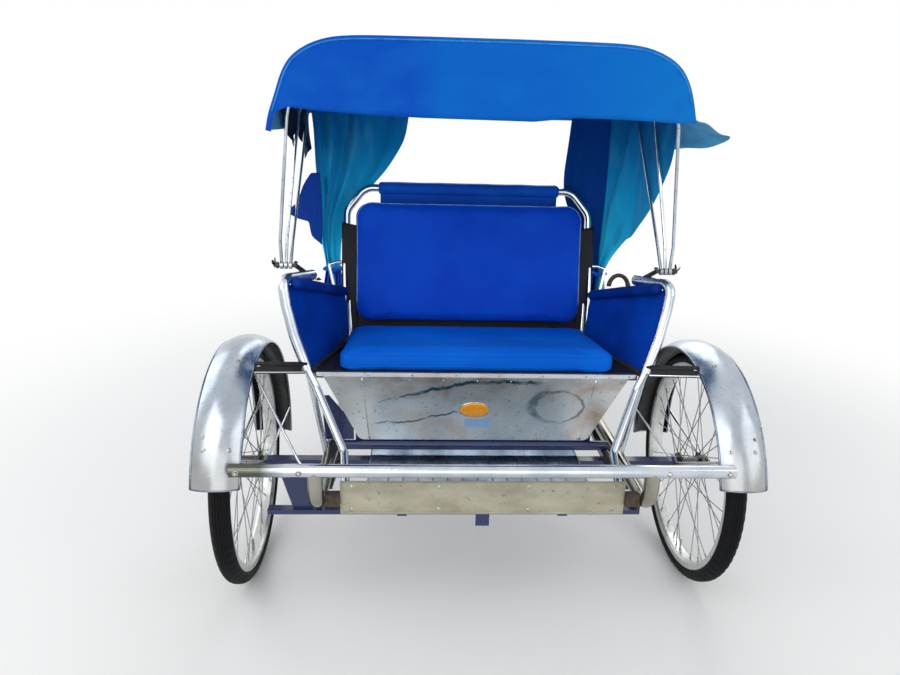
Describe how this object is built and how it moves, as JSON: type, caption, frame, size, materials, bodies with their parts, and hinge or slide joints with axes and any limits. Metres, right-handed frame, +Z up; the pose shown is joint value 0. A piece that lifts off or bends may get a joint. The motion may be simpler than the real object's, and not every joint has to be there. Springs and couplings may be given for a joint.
{
  "type": "cycle rickshaw",
  "caption": "Pedal cycle rickshaw: cushioned passenger carriage between two spoked front wheels under a folding canvas hood, pushed by a rider's frame with saddle and rear wheel.",
  "frame": {"origin": "on the floor under the middle of the vehicle's length and width", "axes": "-Y towards the passengers' front, +X to the vehicle's left, +Z up"},
  "size_m": [1.428, 2.2529, 1.493],
  "materials": {
    "tyre_rubber": "matt black vulcanised rubber",
    "bright_steel": "chromed and polished steel",
    "polished_stainless": "polished stainless sheet",
    "blue_paint": "gloss blue paint",
    "black_paint": "black paint",
    "blue_canvas": "blue coated canvas",
    "teal_cloth": "thin blue-green cloth",
    "blue_vinyl": "blue coated upholstery cloth",
    "plywood": "plywood board",
    "saddle_leather": "dark leather",
    "chain_steel": "oiled steel"
  },
  "bodies": {
    "carriage": {"apron": "polished_stainless", "arm_panel_left": "blue_paint", "arm_panel_right": "blue_paint", "arm_tube_left": "bright_steel", "arm_tube_right": "bright_steel", "backrest_board": "plywood", "backrest_pad": "blue_vinyl", "bumper": "bright_steel", "chassis_rail_left": "bright_steel", "chassis_rail_right": "bright_steel", "foot_tray": "polished_stainless", "front_axle": "blue_paint", "guard_stays_inner_left": "bright_steel", "guard_stays_inner_right": "bright_steel", "guard_stays_outer_left": "bright_steel", "guard_stays_outer_right": "bright_steel", "hood_bracket_left": "black_paint", "hood_bracket_right": "black_paint", "leaf_spring_left": "black_paint", "leaf_spring_right": "black_paint", "mudguard_left": "polished_stainless", "mudguard_right": "polished_stainless", "push_bar_wrap": "blue_vinyl", "push_frame": "bright_steel", "seat_board": "plywood", "seat_box": "blue_paint", "seat_cushion": "blue_vinyl", "steering_yoke": "blue_paint", "tray_frame": "blue_paint", "tray_front_plate": "polished_stainless"},
    "front_wheel_left": {"front_wheel_left": "bright_steel", "front_tyre_left": "tyre_rubber"},
    "front_wheel_right": {"front_wheel_right": "bright_steel", "front_tyre_right": "tyre_rubber"},
    "rear_wheel": {"rear_wheel": "bright_steel", "rear_tyre": "tyre_rubber", "rear_sprocket": "chain_steel"},
    "hood_rear": {"hood_bow_rear": "bright_steel", "curtain_left": "teal_cloth", "curtain_right": "teal_cloth"},
    "hood_middle": {"hood_bow_middle": "bright_steel", "canopy_rear": "blue_canvas"},
    "hood_front": {"hood_bow_front": "bright_steel", "canopy_front": "blue_canvas"},
    "crank": {"crank": "bright_steel"},
    "pedal_left": {"pedal_left": "bright_steel"},
    "pedal_right": {"pedal_right": "bright_steel"},
    "rider_frame": {"head_tube": "blue_paint", "seat_tube": "blue_paint", "main_tube": "blue_paint", "rear_axle": "bright_steel", "rear_mudguard": "polished_stainless", "saddle_post": "bright_steel", "saddle": "saddle_leather", "chain": "chain_steel", "hand_brake": "bright_steel", "chain_stay_left": "blue_paint", "chain_stay_right": "blue_paint", "seat_stay_left": "blue_paint", "seat_stay_right": "blue_paint"}
  },
  "joints": [
    {"name": "front_wheel_left_spin", "type": "hinge", "parent": "carriage", "child": "front_wheel_left", "pos_m": [0.65, -0.7455, 0.335], "axis": [1, 0, 0], "continuous": true},
    {"name": "front_wheel_right_spin", "type": "hinge", "parent": "carriage", "child": "front_wheel_right", "pos_m": [-0.65, -0.7455, 0.335], "axis": [1, 0, 0], "continuous": true},
    {"name": "steering", "type": "hinge", "parent": "carriage", "child": "rider_frame", "pos_m": [0, -0.1255, 0.43], "axis": [0, 0, 1], "range_deg": [-38, 38]},
    {"name": "rear_wheel_spin", "type": "hinge", "parent": "rider_frame", "child": "rear_wheel", "pos_m": [0, 0.7545, 0.335], "axis": [1, 0, 0], "continuous": true},
    {"name": "crank_spin", "type": "hinge", "parent": "rider_frame", "child": "crank", "pos_m": [0, 0.2145, 0.29], "axis": [1, 0, 0], "continuous": true},
    {"name": "pedal_left_spin", "type": "hinge", "parent": "crank", "child": "pedal_left", "pos_m": [0.142, 0.0445, 0.29], "axis": [1, 0, 0], "continuous": true},
    {"name": "pedal_right_spin", "type": "hinge", "parent": "crank", "child": "pedal_right", "pos_m": [-0.142, 0.3845, 0.29], "axis": [1, 0, 0], "continuous": true},
    {"name": "hood_fold", "type": "hinge", "parent": "carriage", "child": "hood_rear", "pos_m": [0, -0.6855, 0.905], "axis": [-1, 0, 0], "range_deg": [0, 42], "deforming": ["curtain_left", "curtain_right", "canopy_rear", "canopy_front"]},
    {"name": "hood_middle_fold", "type": "hinge", "parent": "hood_rear", "child": "hood_middle", "pos_m": [0, -0.6855, 0.905], "axis": [-1, 0, 0], "range_deg": [0, 11]},
    {"name": "hood_front_fold", "type": "hinge", "parent": "hood_middle", "child": "hood_front", "pos_m": [0, -0.6855, 0.905], "axis": [-1, 0, 0], "range_deg": [0, 18]}
  ],
  "couplings": [
    {"joint": "hood_middle_fold", "follows": "hood_fold", "ratio": 0.2619},
    {"joint": "hood_front_fold", "follows": "hood_fold", "ratio": 0.42857}
  ]
}
